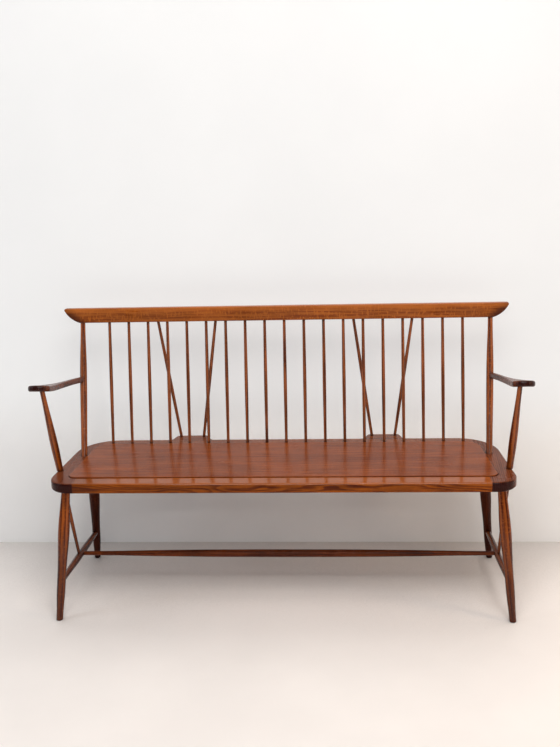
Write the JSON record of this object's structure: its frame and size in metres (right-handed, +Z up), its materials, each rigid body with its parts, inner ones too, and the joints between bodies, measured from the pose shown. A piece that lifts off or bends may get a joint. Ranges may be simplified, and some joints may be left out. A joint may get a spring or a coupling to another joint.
{
  "type": "spindle-back bench",
  "caption": "Stained wooden bench with arms, a spindle back under a scooped crest rail, a framed seat panel, splayed turned legs and stretchers between them.",
  "frame": {"origin": "on the floor, in the middle of the bounding box", "axes": "+X to the viewer's right along the bench, +Y away from the viewer to the bench's back, +Z up"},
  "size_m": [1.488, 0.4747, 0.8763],
  "materials": {
    "seat_wood": "satin stained and varnished",
    "turned_wood": "satin stained and varnished",
    "shaped_wood": "satin stained and varnished",
    "joint_wood": "bare, glued in"
  },
  "bodies": {
    "root": {"seat_front_rail": "seat_wood", "seat_back_rail": "seat_wood", "seat_end_left": "seat_wood", "seat_end_right": "seat_wood", "seat_tail_left": "seat_wood", "seat_tail_right": "seat_wood", "seat_panel": "seat_wood", "leg_front_left": "turned_wood", "leg_front_right": "turned_wood", "leg_rear_left": "turned_wood", "leg_rear_right": "turned_wood", "side_stretcher_left": "turned_wood", "side_stretcher_right": "turned_wood", "medial_stretcher": "turned_wood", "stile_left": "turned_wood", "stile_right": "turned_wood", "arm_post_left": "turned_wood", "arm_post_right": "turned_wood", "spindle_01": "turned_wood", "spindle_02": "turned_wood", "spindle_03": "turned_wood", "spindle_04": "turned_wood", "spindle_05": "turned_wood", "spindle_06": "turned_wood", "spindle_07": "turned_wood", "spindle_08": "turned_wood", "spindle_09": "turned_wood", "spindle_10": "turned_wood", "spindle_11": "turned_wood", "spindle_12": "turned_wood", "spindle_13": "turned_wood", "spindle_14": "turned_wood", "spindle_15": "turned_wood", "spindle_16": "turned_wood", "spindle_17": "turned_wood", "spindle_18": "turned_wood", "spindle_19": "turned_wood", "brace_spindle_1": "turned_wood", "brace_spindle_2": "turned_wood", "brace_spindle_3": "turned_wood", "brace_spindle_4": "turned_wood", "crest_rail": "shaped_wood", "arm_left": "shaped_wood", "arm_right": "shaped_wood", "seat_tongues": "joint_wood", "arm_dowel_left": "joint_wood", "arm_dowel_right": "joint_wood"}
  },
  "joints": []
}
